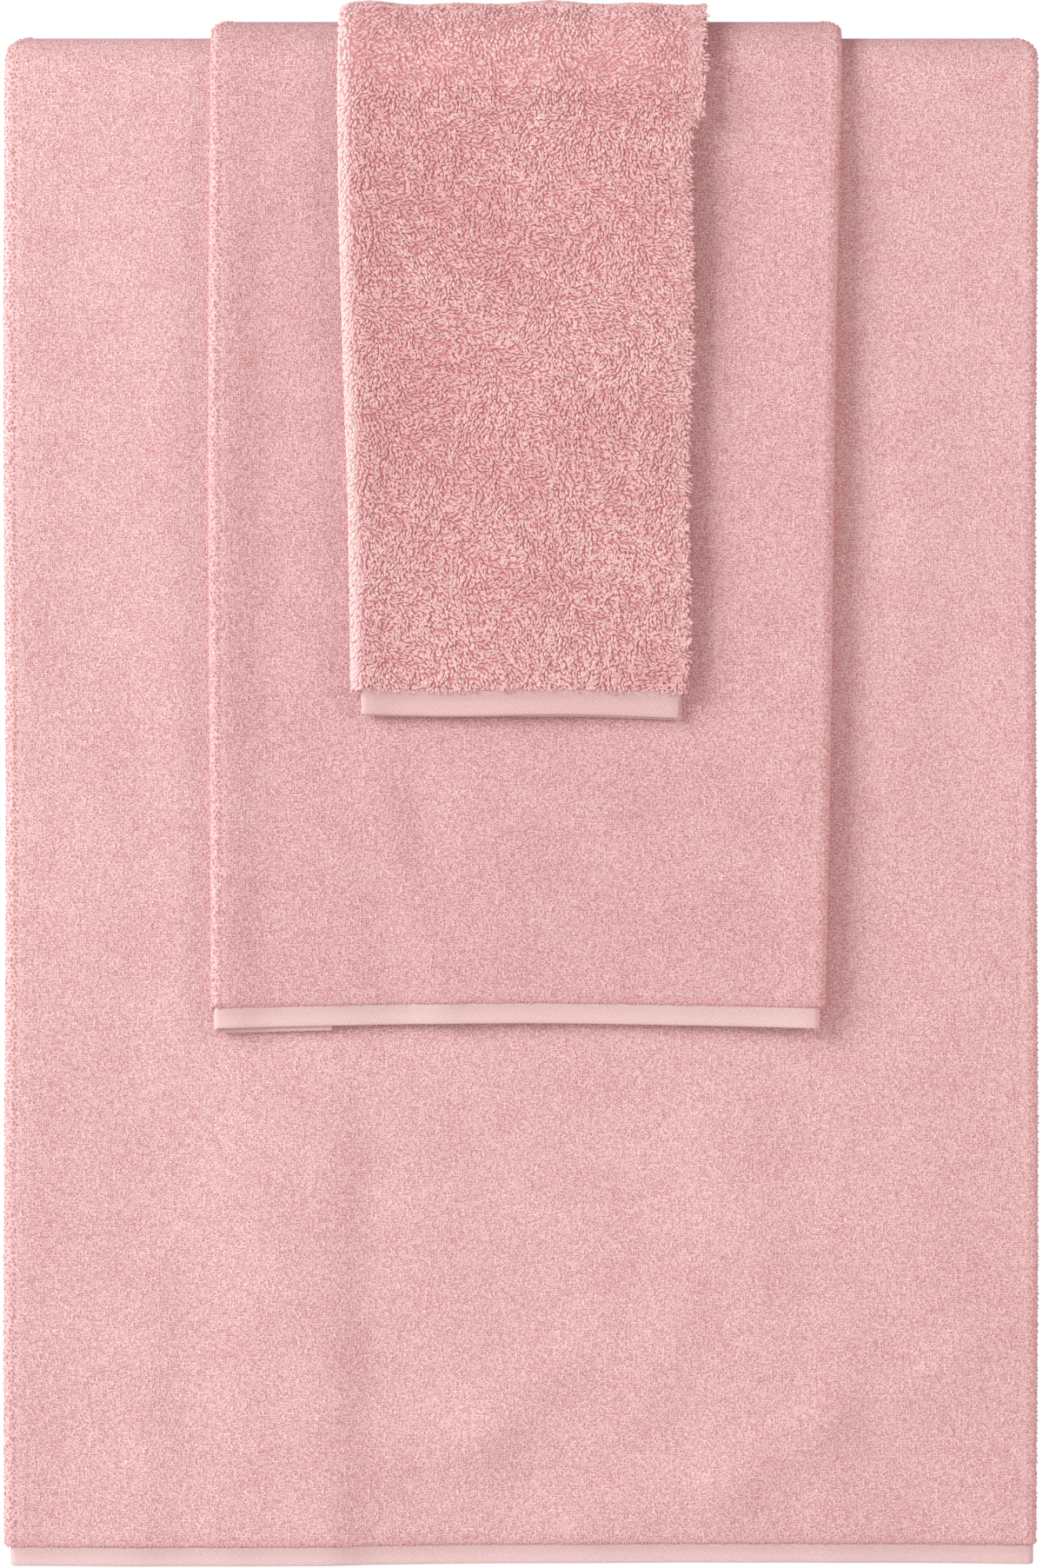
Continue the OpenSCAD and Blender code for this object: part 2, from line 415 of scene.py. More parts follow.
guestTowel = {
    "name": "guest", "body": "guest_towel", "flat": (0.31, 0.50), "layer": 4.05 * mm,
    "leftFlap": 0, "rightFlap": 0, "hem": 12.4 * mm, "hemLayer": 1.6 * mm,
    "hemIn": (4.0 * mm, 2.0 * mm), "columnStep": 4.0 * mm, "rowStep": 4.0 * mm,
    "cornerRound": 4 * mm, "flapSlip": (0.4 * mm, 0.8 * mm),
    "puff": (1.6 * mm, 12 * mm), "waves": 1.3 * mm, "unevenTop": 1.1 * mm,
    "groundCloth": 1.8 * mm,
    "pileOut": 4.5 * mm,     # how far the long pile stands out past the ground cloth's edges
    "shortFace": 1.6 * mm,   # how far the face's open edge stops short of the back layer's
}


def measureTowel(towel):
    low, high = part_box(towel["name"] + "_terry")
    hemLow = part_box(towel["name"] + "_front_hem")[0]
    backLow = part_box(towel["name"] + "_back_hem")[0]
    towel["left"], towel["right"] = low.x, high.x
    if towel["name"] == "guest":
        towel["left"] += towel["pileOut"]
        towel["right"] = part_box("guest_face_side_hem")[1].x - towel["pileOut"] - towel["shortFace"]
        towel["leftFlap"] = towel["right"] - towel["left"] + towel["shortFace"]
    towel["frontDrop"], towel["backDrop"] = -hemLow.z, -backLow.z
    towel["bend"] = (towel["layer"] + layerGap) / 2
    towel["faceR"] = -low.y - towel["layer"] / 2          # radius of the face layer's middle
    towel["foldR"] = towel["faceR"] - towel["bend"]       # radius that the folds turn about
    towel["turn"] = math.pi * towel["faceR"]              # length over the rail
    towel["edge"] = towel["bend"] + towel["layer"] / 2    # from a fold's middle to its outside
    return towel


def acrossStops(towel):
    # Lengths across the cloth at which the left flap, left fold, face, right fold and right flap end
    arc = math.pi * towel["bend"]
    face = towel["right"] - towel["left"] - 2 * towel["edge"]
    stops = [towel["leftFlap"] - towel["edge"], arc, face]
    if towel["rightFlap"]:
        stops += [arc, towel["rightFlap"] - towel["edge"]]
    else:
        stops[2] += towel["edge"]
    return np.cumsum(stops)


def alongLength(towel):
    return towel["frontDrop"] + towel["turn"] + towel["backDrop"]


def foldAcross(towel, u):
    # Place along the rail, distance from the rail, share of the way to the flap, and the outward
    # normal of the cloth's right side, for lengths u across the cloth
    stops = acrossStops(towel)
    b, r = towel["bend"], towel["foldR"]
    x, rho = np.zeros_like(u), np.zeros_like(u)
    nx, nr = np.zeros_like(u), np.ones_like(u)
    xl = towel["left"] + towel["edge"]
    xr = towel["right"] - towel["edge"]
    part = u <= stops[0]
    x[part], rho[part], nr[part] = xl + (stops[0] - u)[part], r - b, -1
    part = (u > stops[0]) & (u <= stops[1])
    angle = (u[part] - stops[0]) / b
    x[part], rho[part] = xl - b * np.sin(angle), r - b * np.cos(angle)
    nx[part], nr[part] = -np.sin(angle), -np.cos(angle)
    part = (u > stops[1]) & (u <= stops[2])
    x[part], rho[part] = xl + (u - stops[1])[part], r + b
    if towel["rightFlap"]:
        part = (u > stops[2]) & (u <= stops[3])
        angle = (u[part] - stops[2]) / b
        x[part], rho[part] = xr + b * np.sin(angle), r + b * np.cos(angle)
        nx[part], nr[part] = np.sin(angle), np.cos(angle)
        part = u > stops[3]
        x[part], rho[part], nr[part] = xr - (u - stops[3])[part], r - b, -1
    else:
        part = u > stops[2]
        x[part], rho[part] = xl + (u - stops[1])[part], r + b
    return x, rho, (r + b - rho) / (2 * b), nx, nr


def hang(towel, u, v):
    # Points and normals of the cloth's middle, for lengths u across and v along it
    x, rho, flapShare, nx, nr = foldAcross(towel, u)
    front, turn = towel["frontDrop"], towel["turn"]
    angle = np.clip((v - front) / towel["faceR"], 0, math.pi)
    below = np.maximum(front - v, 0) + np.maximum(v - front - turn, 0)
    isFront = angle < math.pi / 2
    rest = np.where(angle > 0, rho * np.sin(angle), 0) - below
    # the left flap ends here, or the guest towel's flap is taken in two halves
    change = towel["left"] + towel["leftFlap"] + 5 * mm
    if not towel["rightFlap"]:
        change = (towel["left"] + towel["right"]) / 2
    share = (x - towel["left"]) / (towel["right"] - towel["left"])
    # the flaps hang a little lower or higher than the face
    slip = np.where(x < change, towel["flapSlip"][0], towel["flapSlip"][1])
    rest = rest - slip * flapShare * smoothStep(0, 0.15, below)
    depth = towel["relief"](x, rest, isFront, flapShare)
    rho = rho + depth
    z = np.where(angle > 0, rho * np.sin(angle), 0) - below
    z = z - slip * flapShare * smoothStep(0, 0.15, below)
    y = -rho * np.cos(angle)
    # the folded edges draw in where they turn over the rail, which rounds the top corners
    top = towel["faceR"] + towel["layer"] / 2
    down = np.clip(top - z, 0, towel["cornerRound"])
    inward = towel["cornerRound"] - np.sqrt(
        np.maximum(towel["cornerRound"] ** 2 - (towel["cornerRound"] - down) ** 2, 0))
    near = 0.03
    leftNear = smoothStep(near, 0, x - towel["left"])
    rightNear = smoothStep(near, 0, towel["right"] - x) if towel["rightFlap"] else 0
    leftShift, rightShift, lift = towel["sway"](x, z)
    x = x + inward * (leftNear - rightNear)
    x = x + leftShift * (1 - share) + rightShift * share
    z = z + lift
    points = np.stack([x, y, z], 1)
    normals = np.stack([nx, -nr * np.cos(angle), nr * np.sin(angle)], 1)
    return points, normals


# ---- relief and sway of each towel ----

def shareDown(towel, z):
    return np.clip(-z / towel["frontDrop"], 0, 1)


def settledHem(towel, z, flapShare):
    # The face's thin hem lies back against the flaps' hems
    depth = towel["layer"] + 0.2 * mm - towel["hemLayer"]
    start = towel["frontDrop"] - towel["hem"]
    return -depth * smoothStep(start - 1 * mm, start + 6 * mm, -z) * (1 - flapShare)


def liftedTurn(z):
    # The cloth stands a little off the top of the rail
    return overRail * smoothStep(-25 * mm, -2 * mm, z)


def puffedFolds(towel, x, flapShare):
    # The face stands proud over the roll of each folded edge, and eases down towards the middle
    height, width = towel["puff"]
    roll = 6 * mm
    left, right = x - towel["left"], towel["right"] - x
    out = bump(np.maximum(left - roll, 0), 0, width)
    if towel["rightFlap"]:
        out += bump(np.maximum(right - roll, 0), 0, width)
    return height * out * (1 - flapShare)


def sunkBetweenFlaps(towel, x):
    # The face sinks where neither flap lies behind it
    depth, ease = towel["sink"]
    flapLeft, flapRight = towel["left"] + towel["leftFlap"], towel["right"] - towel["rightFlap"]
    return -depth * smoothStep(0, ease[0], x - flapLeft) * smoothStep(0, ease[1], flapRight - x)


def bathRelief(x, z, isFront, flapShare):
    t = bathTowel
    down = shareDown(t, z)
    below = smoothStep(0.62, 0.74, down)                # below the hand towel
    beside = smoothStep(0.0, 0.03, np.abs(x) - 0.150)   # beside the hand towel
    bare = np.maximum(below, beside)
    flapLeft = t["left"] + t["leftFlap"]
    h = puffedFolds(t, x, flapShare) * smoothStep(0.02, 0.12, down)
    h += sunkBetweenFlaps(t, x) * below * (1 - flapShare)
    h += settledHem(t, z, flapShare) + liftedTurn(z)
    # the left flap's hem shows through as a soft ridge
    ridge, ridgeWidth = t["hemRidge"]
    h += (ridge * bump(np.maximum(flapLeft - x, 0), 0, ridgeWidth)
          * smoothStep(12 * mm, 0, x - flapLeft) * below)
    # long soft waves from the hang of the cloth, and the crease left by storing it folded
    wave = (0.3 * np.sin(x / 0.0165 + 2.2 * np.sin(z / 0.11)) + 0.5 * np.sin(x / 0.031 - z / 0.16 + 1.1)
            + 0.35 * np.sin(x / 0.012 + z / 0.05) * np.sin(z / 0.07))
    h += t["waves"] * wave * bare * smoothStep(0.05, 0.3, down)
    crease, creaseWidth = t["crease"]
    h += crease * bump(z, -0.152 + 0.03 * x, creaseWidth) * bare
    # the lower right corner rolls back slightly
    h -= t["cornerBack"] * smoothStep(0.10, 0.26, x) * smoothStep(0.78, 1.0, down)
    for start, end, width, height in bathPuckers:
        h += np.where(isFront, pucker(t, x, z, start, end, width, height), 0)
    return h


# start and end of each pucker as shares of the towel's width and front drop
bathPuckers = [
    ((0.36, 0.930), (0.46, 0.915), 14 * mm, 1.7 * mm),
    ((0.46, 0.915), (0.55, 0.860), 14 * mm, 1.8 * mm),
    ((0.57, 0.965), (0.70, 0.950), 13 * mm, 1.7 * mm),
    ((0.70, 0.950), (0.79, 0.905), 14 * mm, 1.8 * mm),
    ((0.79, 0.905), (0.83, 0.860), 12 * mm, 1.4 * mm),
    ((0.62, 0.900), (0.66, 0.820), 11 * mm, 1.2 * mm),
    ((0.87, 0.885), (0.94, 0.850), 11 * mm, 1.4 * mm),
    ((0.13, 0.985), (0.15, 0.80), 12 * mm, 1.2 * mm),
    ((0.22, 0.985), (0.235, 0.83), 11 * mm, 1.0 * mm),
]


def pucker(towel, x, z, start, end, width, height):
    wide, tall = towel["right"] - towel["left"], towel["frontDrop"]
    ax, az = towel["left"] + start[0] * wide, -start[1] * tall
    bx, bz = towel["left"] + end[0] * wide, -end[1] * tall
    dx, dz = bx - ax, bz - az
    t = np.clip(((x - ax) * dx + (z - az) * dz) / (dx * dx + dz * dz), 0, 1)
    away = np.hypot(x - ax - t * dx, z - az - t * dz)
    return height * np.exp(-(away / width) ** 2)


def handRelief(x, z, isFront, flapShare):
    t = handTowel
    down = shareDown(t, z)
    below = smoothStep(0.68, 0.80, down)                # below the guest towel
    beside = smoothStep(0.0, 0.02, np.abs(x) - 0.092)   # beside the guest towel
    bare = np.maximum(below, beside)
    h = puffedFolds(t, x, flapShare) * smoothStep(0.02, 0.12, down)
    # its right side lies over the roll of its wide flap, and stands further out
    h += t["rightLift"] * smoothStep(0.02, 0.12, down) * smoothStep(60 * mm, 8 * mm, t["right"] - x)
    fromLeft = np.maximum(x - t["left"] - 8 * mm, 0)
    h += t["leftLift"] * smoothStep(0.05, 0.3, down) * bump(fromLeft, 0, 12 * mm)
    h += sunkBetweenFlaps(t, x) * below * (1 - flapShare)
    # a slanting pucker runs down from the guest towel's lower left corner
    h += np.where(isFront, pucker(t, x, z, (0.24, 0.66), (0.37, 0.98), 11 * mm, 1.9 * mm), 0) * below
    wave = 0.35 * np.sin(x / 0.0145 + 1.6 * np.sin(z / 0.09) + 0.7) + 0.6 * np.sin(x / 0.027 + z / 0.14)
    h += t["waves"] * wave * bare * smoothStep(0.05, 0.3, down)
    h = np.maximum(h, -2.0 * mm) + 0.5 * mm    # it lies on the bath towel, so it never sinks far
    return h + settledHem(t, z, flapShare) + liftedTurn(z)


def guestRelief(x, z, isFront, flapShare):
    t = guestTowel
    down = shareDown(t, z)
    h = puffedFolds(t, x, flapShare) * smoothStep(0.02, 0.15, down)
    wave = np.sin(x / 0.021 + 1.4 * np.sin(z / 0.05)) * 0.6 + np.sin(z / 0.029 + x / 0.03) * 0.55
    h += t["waves"] * wave * smoothStep(0.02, 0.2, down)
    # the pile's top edge over the rail is uneven
    h += t["unevenTop"] * (np.sin(x / 0.009) * np.sin(x / 0.023 + 1.0)) * smoothStep(0.12, 0.0, down)
    return np.maximum(h, -1.0 * mm) + 1.0 * mm + settledHem(t, z, flapShare) + liftedTurn(z)


def bathSway(x, z):
    down = shareDown(bathTowel, z)
    low = smoothStep(0.75, 1.0, down)
    leftShift = 0.5 * mm * np.sin(z / 0.075) - 0.3 * mm
    rightShift = 0.6 * mm * np.sin(z / 0.09 + 1.0) - 0.2 * mm
    lift = low * 0.8 * mm * np.sin(x / 0.085 + 0.4)
    return leftShift, rightShift, lift


def handSway(x, z):
    t = handTowel
    down = shareDown(t, z)
    share = (x - t["left"]) / (t["right"] - t["left"])
    leftShift = 0.6 * mm * np.sin(z / 0.08 + 0.5) + 0.3 * mm
    rightShift = 0.5 * mm * np.sin(z / 0.07) + 2.6 * mm - 8.0 * mm * down
    lift = smoothStep(0.75, 1.0, down) * (1.6 * mm - 3.4 * mm * np.abs(share - 0.5) ** 1.5 * 2)
    return leftShift, rightShift, lift


def guestSway(x, z):
    down = shareDown(guestTowel, z)
    leftShift = 0.6 * mm * np.sin(z / 0.045) - 5.2 * mm + 6.4 * mm * down
    rightShift = 0.6 * mm * np.sin(z / 0.02 + 1) - 2.9 * mm - 2.6 * mm * down
    # the open edge stands out where it turns over the rail
    rightShift = rightShift + 5.2 * mm * smoothStep(0.09, 0.05, down)
    hangs = 0.5 * mm * np.sin(x / 0.02) + 0.6 * mm - 1.2 * mm * (x > 0) * x / 0.08
    lift = smoothStep(0.7, 1.0, down) * hangs
    return leftShift, rightShift, lift


bathTowel["relief"], bathTowel["sway"] = bathRelief, bathSway
handTowel["relief"], handTowel["sway"] = handRelief, handSway
guestTowel["relief"], guestTowel["sway"] = guestRelief, guestSway


# ---- sheets of cloth ----

def evenStops(points, steps):
    # Values from each point to the next, as near as can be to each stretch's own step
    out = [points[0]]
    for a, b, step in zip(points, points[1:], steps):
        n = max(1, round(abs(b - a) / step))
        out += [a + (b - a) * i / n for i in range(1, n + 1)]
    return np.array(out)


def columnPlaces(towel, start=None, end=None):
    stops = acrossStops(towel)
    fine = towel["bend"] * math.pi / 9
    wide = towel["columnStep"]
    places = evenStops([0, *stops], [wide, fine, wide, fine, wide][:len(stops)])
    if start is not None:
        inside = places[(places > start + 0.5 * mm) & (places < end - 0.5 * mm)]
        places = np.array([start, *inside, end])
    return places


def rowPlaces(towel, start, end, step):
    front, back = towel["frontDrop"], towel["frontDrop"] + towel["turn"]
    edges = [start] + [p for p in (front, back) if start < p < end] + [end]
    steps = [step if b <= front or a >= back else min(step, 2.6 * mm) for a, b in zip(edges, edges[1:])]
    return evenStops(edges, steps)


def clothGrid(name, towel, us, vs):
    # A flat grid of cloth, its lines moved to these places, then folded and hung
    deselectAll()
    bpy.ops.mesh.primitive_grid_add(x_subdivisions=len(us) - 1, y_subdivisions=len(vs) - 1, size=1)
    obj = bpy.context.object
    obj.name = obj.data.name = name
    flat = getCoords(obj.data)
    column = np.rint((flat[:, 0] + 0.5) * (len(us) - 1)).astype(int)
    row = np.rint((flat[:, 1] + 0.5) * (len(vs) - 1)).astype(int)
    u, v = us[column], vs[row]
    points, _ = hang(towel, u, v)
    setCoords(obj.data, points)
    obj.data.uv_layers[0].name = "cloth"
    corners = np.zeros(len(obj.data.loops), np.int32)
    obj.data.loops.foreach_get("vertex_index", corners)
    wide, long = acrossStops(towel)[-1], alongLength(towel)
    uv = np.stack([u[corners] / wide, v[corners] / long], 1)
    obj.data.uv_layers[0].data.foreach_set("uv", uv.astype(np.float32).ravel())
    return obj


def thicken(obj, thickness, roundness):
    solid = obj.modifiers.new("thickness", "SOLIDIFY")
    solid.thickness = thickness
    solid.offset = 0
    solid.use_even_offset = False
    if roundness:
        rim = obj.modifiers.new("soft_rim", "BEVEL")
        rim.width = roundness
        rim.segments = 2
        rim.limit_method = "ANGLE"
        rim.angle_limit = math.radians(60)
    applyModifiers(obj)
    makeActive(obj)
    bpy.ops.object.shade_smooth()
    return obj


def finishPiece(obj, towel, slot, material, *nodes):
    obj.data.materials.clear()
    obj.data.materials.append(material)
    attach(obj, towel["body"])
    if nodes:
        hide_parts(*nodes)
    return obj


def buildTerry(towel, material):
    name = towel["name"]
    hem = towel["hem"]
    wide = acrossStops(towel)[-1]
    us = columnPlaces(towel, sideHem["width"], wide - sideHem["width"])
    vs = rowPlaces(towel, hem, alongLength(towel) - hem, towel["rowStep"])
    obj = clothGrid(name + "_terry_cloth", towel, us, vs)
    thickness = towel.get("groundCloth", towel["layer"])
    thicken(obj, thickness, 0.4 * thickness)
    return finishPiece(obj, towel, name + "_terry", material, name + "_terry")


def hemTowel(towel):
    # The end hem is drawn in a little from the terry's folds
    hem = dict(towel)
    hem["left"] = towel["left"] + towel["hemIn"][0]
    hem["right"] = towel["right"] - towel["hemIn"][1]
    if towel["name"] == "guest":
        hem["leftFlap"] = hem["right"] - hem["left"] + 1.0 * mm
    hem["layer"] = towel["hemLayer"]

    def relief(x, z, isFront, flapShare):
        return towel["relief"](x, z, isFront, flapShare) + hemForward * (1 - flapShare)

    hem["relief"] = relief
    return hem


def buildEndHem(towel, material, isFront):
    name = towel["name"]
    hem = hemTowel(towel)
    length = alongLength(towel)
    start, end = (0, towel["hem"]) if isFront else (length - towel["hem"], length)
    us = columnPlaces(hem)
    vs = evenStops([start, end], [2 * mm])
    side = "front" if isFront else "back"
    obj = clothGrid(f"{name}_{side}_hem_band", hem, us, vs)
    thicken(obj, towel["hemLayer"], 0.4 * towel["hemLayer"])
    return finishPiece(obj, towel, "flat_weave", material, f"{name}_{side}_hem")


def buildSideHem(towel, material, atStart, node):
    wide = acrossStops(towel)[-1]
    start, end = (0, sideHem["width"]) if atStart else (wide - sideHem["width"], wide)
    us = evenStops([start, end], [sideHem["step"]])
    vs = rowPlaces(towel, towel["hem"], alongLength(towel) - towel["hem"], towel["rowStep"])
    obj = clothGrid(node + "_band", towel, us, vs)
    thicken(obj, sideHem["thickness"], sideHem["rim"])
    return finishPiece(obj, towel, "flat_weave", material, node)


# ---- strands: stitches, loops and long pile ----

def modelStrand(sides, profile):
    # One closed strand of unit length along Z, drawn up ring by ring from a small disc
    deselectAll()
    bpy.ops.mesh.primitive_circle_add(vertices=sides, radius=profile[0][1], fill_type="NGON",
                                      location=(0, 0, 0))
    obj = bpy.context.object
    bpy.ops.object.mode_set(mode="EDIT")
    bpy.ops.mesh.select_all(action="SELECT")
    for (z0, r0), (z1, r1) in zip(profile, profile[1:]):
        bpy.ops.mesh.extrude_region_move(TRANSFORM_OT_translate={"value": (0, 0, z1 - z0)})
        bpy.ops.transform.resize(value=(r1 / r0, r1 / r0, 1), center_override=(0, 0, z1))
    bpy.ops.mesh.extrude_region_move(TRANSFORM_OT_translate={"value": (0, 0, 1 - profile[-1][0])})
    bpy.ops.mesh.merge(type="CENTER")
    bpy.ops.object.mode_set(mode="OBJECT")
    points = getCoords(obj.data)
    # a fixed order of vertices and faces, so that every run gives the same mesh
    order = np.lexsort(np.round(points, 5).T)
    rank = np.argsort(order)
    faces = sorted([int(rank[i]) for i in polygon.vertices] for polygon in obj.data.polygons)
    bpy.data.objects.remove(obj)
    return points[order], faces


def copyStrands(name, strand, roots, ups, leans, heights, reaches, widths, tones, shadeLift=0):
    # Copies of one strand: each rises along up by height and leans over by reach. The last argument,
    # from 0 to 1, is how far up its colour starts, which takes away that much of the painted shade at
    # its root
    points, faces = strand
    s = np.clip(points[:, 2], 0, 1)
    n, m = len(roots), len(points)
    rise = s - 0.38 * s ** 2
    sweep = s ** 1.6
    middle = (roots[:, None] + ups[:, None] * (heights[:, None] * rise)[..., None]
              + leans[:, None] * (reaches[:, None] * sweep)[..., None])
    slope = (ups[:, None] * (heights[:, None] * (1 - 0.76 * s))[..., None]
             + leans[:, None] * (reaches[:, None] * 1.6 * np.maximum(s, 0.05) ** 0.6)[..., None])
    slope /= np.linalg.norm(slope, axis=2, keepdims=True)
    side = np.cross(slope, np.repeat(np.cross(ups, leans)[:, None], m, 1))
    across = np.repeat(np.cross(ups, leans)[:, None], m, 1)
    out = (middle + across * (points[:, 0] * widths[:, None])[..., None]
           + side * (points[:, 1] * widths[:, None])[..., None])
    mesh = bpy.data.meshes.new(name)
    loops = [[i + k * m for i in face] for k in range(n) for face in faces]
    mesh.from_pydata(out.reshape(-1, 3).tolist(), [], loops)
    uvLayer = mesh.uv_layers.new(name="cloth")
    corners = np.zeros(len(mesh.loops), np.int32)
    mesh.loops.foreach_get("vertex_index", corners)
    shadeLift = np.broadcast_to(shadeLift, (n,))
    uv = np.stack([tones[corners // m], np.maximum(s[corners % m], shadeLift[corners // m])], 1)
    uvLayer.data.foreach_set("uv", uv.astype(np.float32).ravel())
    obj = bpy.data.objects.new(name, mesh)
    bpy.context.scene.collection.objects.link(obj)
    editAll(obj, bpy.ops.mesh.normals_make_consistent, inside=False)
    bpy.ops.object.shade_smooth()
    return obj


def unit(vectors):
    return vectors / np.maximum(np.linalg.norm(vectors, axis=1, keepdims=True), 1e-9)


pile = {
    "pitchAcross": 1.2 * mm, "pitchAlong": 1.3 * mm, "height": 1.7 * mm, "reach": 2.5 * mm,
    "width": 1.32 * mm, "drift": 0.026, "clump": 0.0034, "lean": -55, "foldLean": -120,
    "shadeLift": 0, "patches": ((0.27, 0.17, 0.25), (0.3, 0.6, 0.25), (0.75, 0.25, 0.15)),
}
# the open edge's strands lie in shade, so they are painted lighter, all tip colour with no painted root
# shade; the rail's pile keeps less of that shade too
edgePile = dict(pile, pitchAcross=1.4 * mm, pitchAlong=1.5 * mm, height=0.9 * mm, reach=1.5 * mm,
                lean=-110, shadeLift=1.0)
railPile = dict(pile, pitchAcross=1.5 * mm, pitchAlong=1.65 * mm, width=1.55 * mm, height=1.2 * mm,
                shadeLift=0.45)
backPile = dict(pile, pitchAcross=1.75 * mm, pitchAlong=2.0 * mm, width=1.7 * mm, height=1.9 * mm)

# loops of the outermost row against a hem, loops over a folded edge, and lock stitches;
# the row against a hem keeps little of its painted root shade, so it is painted lighter where the step
# down to the hem lies in shadow
rowHook = {
    "width": 1.35 * mm, "height": 0.3 * mm, "reach": 1.4 * mm, "sunk": 0.6 * mm, "spread": 0.4,
    "shadeLift": 0.9, "pitchAcross": 0.7 * mm, "pitchAlong": 1.1 * mm,
}
foldHook = {
    "width": 1.6 * mm, "height": 0.65 * mm, "reach": 0.7 * mm, "sunk": 0.4 * mm, "spread": 1.2,
    "shadeLift": 0.25, "pitchAcross": 1.5 * mm, "pitchAlong": 1.7 * mm, "margin": 1.2 * mm,
}
thread = {
    "length": 1.35 * mm, "pitch": 1.75 * mm, "width": 0.42 * mm, "height": 0.32 * mm, "inset": 1.0 * mm,
    "sunk": 0.12 * mm, "sideInset": 5.5 * mm,
}


def scatterPlaces(uRange, vRange, pitchAcross, pitchAlong, loose):
    # Staggered rows of places on the cloth, each moved a little by chance
    us = np.arange(uRange[0], uRange[1], pitchAcross)
    vs = np.arange(vRange[0], vRange[1], pitchAlong)
    u, v = [a.ravel() for a in np.meshgrid(us, vs)]
    u = u + (np.rint((v - vRange[0]) / pitchAlong) % 2) * pitchAcross / 2
    u = u + rng.uniform(-loose, loose, len(u)) * pitchAcross
    v = v + rng.uniform(-loose, loose, len(u)) * pitchAlong
    return u, v


def frameCloth(towel, u, v):
    # Points on the cloth, its outward normals, and its directions across and up the drop
    step = 0.5 * mm
    here, ups = hang(towel, u, v)
    beside, _ = hang(towel, u + step, v)
    along, _ = hang(towel, u, v + step)
    return here, ups, unit(beside - here), unit(along - here)


def growPile(name, towel, uRange, vRange, strand, look, side=1):
    # Long pile on the cloth's right side: it drifts in patches, and leans down and to one side
    u, v = scatterPlaces(uRange, vRange, look["pitchAcross"], look["pitchAlong"], 0.45)
    # none where the care label is sewn down
    low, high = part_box(towel["name"] + "_care_label")
    places, _ = hang(towel, u, v)
    margin = 1.5 * mm
    covered = ((np.abs(places[:, 0] - (low.x + high.x) / 2) < (high.x - low.x) / 2 + margin / 2)
               & (places[:, 2] > low.z - margin / 3) & (places[:, 2] < high.z + margin)
               & (places[:, 1] > 0))
    u, v = u[~covered], v[~covered]
    count = len(u)
    here, ups, across, climb = frameCloth(towel, u, v)
    ups = ups * side
    flat = np.stack([u, v, np.zeros(count)], 1)
    turns = 2.2 * perlin(flat, look["drift"], 1) + 1.2 * perlin(flat, look["drift"] * 0.3, 2)
    turns += 1.5 * perlin(flat, look["clump"], 4)
    # over the left fold the pile lies down and outwards, close; there it loses its painted root shade,
    # so the fold, which faces the key light, is painted lighter
    stops = acrossStops(towel)
    fold = smoothStep(6 * mm, 2 * mm, np.abs(u - (stops[0] + stops[1]) / 2 - 2 * mm))
    turns = turns * (1 - 0.7 * fold) + np.radians(look["foldLean"] - look["lean"]) * fold
    # on the back drop the cloth runs the other way, so the lean is turned to hang down there too
    hangs = np.where(v < towel["frontDrop"] + towel["turn"] / 2, look["lean"], -look["lean"])
    angle = np.radians(hangs) + turns + rng.normal(0, 0.24, count) * (1 - 0.2 * fold)
    leans = unit(across * np.cos(angle)[:, None] + climb * np.sin(angle)[:, None])
    heights = look["height"] * rng.uniform(0.75, 1.25, count) * (1 - 0.5 * fold)
    reaches = look["reach"] * rng.uniform(0.6, 1.4, count)
    widths = look["width"] * rng.uniform(0.8, 1.25, count) * (1 + 0.35 * fold)
    roots = here + ups * 0.4 * mm
    # patches a few centimetres across are a little deeper in tone, and the gaps between tufts get
    # painted shade
    tones = rng.random(count) * 0.5 + 0.2
    tones = tones + 0.35 * perlin(flat, 0.03, 3) + 0.9 * perlin(flat, look["clump"], 5)
    shareAcross, shareAlong = (u - stops[1]) / (stops[-1] - stops[1]), 1 - v / towel["frontDrop"]
    for patchAcross, patchDown, size in look["patches"]:
        far = np.hypot(shareAcross - patchAcross, (shareAlong - patchDown) * 1.7)
        tones += 0.3 * np.exp(-(far / size) ** 2)
    tones = np.clip(tones, 0, 1) * (1 - fold)
    shadeLift = np.maximum(0.65 * fold, look["shadeLift"])
    return copyStrands(name, strand, roots, ups, leans, heights, reaches, widths, tones, shadeLift)


def growLoops(name, towel, u, v, strand, look, aim):
    # Short loops of terry, each leaning near the direction aim, in degrees from across the cloth
    count = len(u)
    here, ups, across, climb = frameCloth(towel, u, v)
    angle = np.radians(aim) + rng.normal(0, look["spread"], count)
    leans = unit(across * np.cos(angle)[:, None] + climb * np.sin(angle)[:, None])
    lengths = rng.uniform(0.75, 1.25, (2, count))
    widths = look["width"] * rng.uniform(0.85, 1.2, count)
    roots = here + ups * (towel["layer"] / 2 - look["sunk"])
    return copyStrands(name, strand, roots, ups, leans, look["height"] * lengths[0],
                       look["reach"] * lengths[1], widths, rng.random(count), look["shadeLift"])


def foldEnds(towel):
    # Where each folded edge starts and ends across the cloth
    stops = acrossStops(towel)
    ends = [("left", stops[0], stops[1])]
    if towel["rightFlap"]:
        ends.append(("right", stops[2], stops[3]))
    return ends


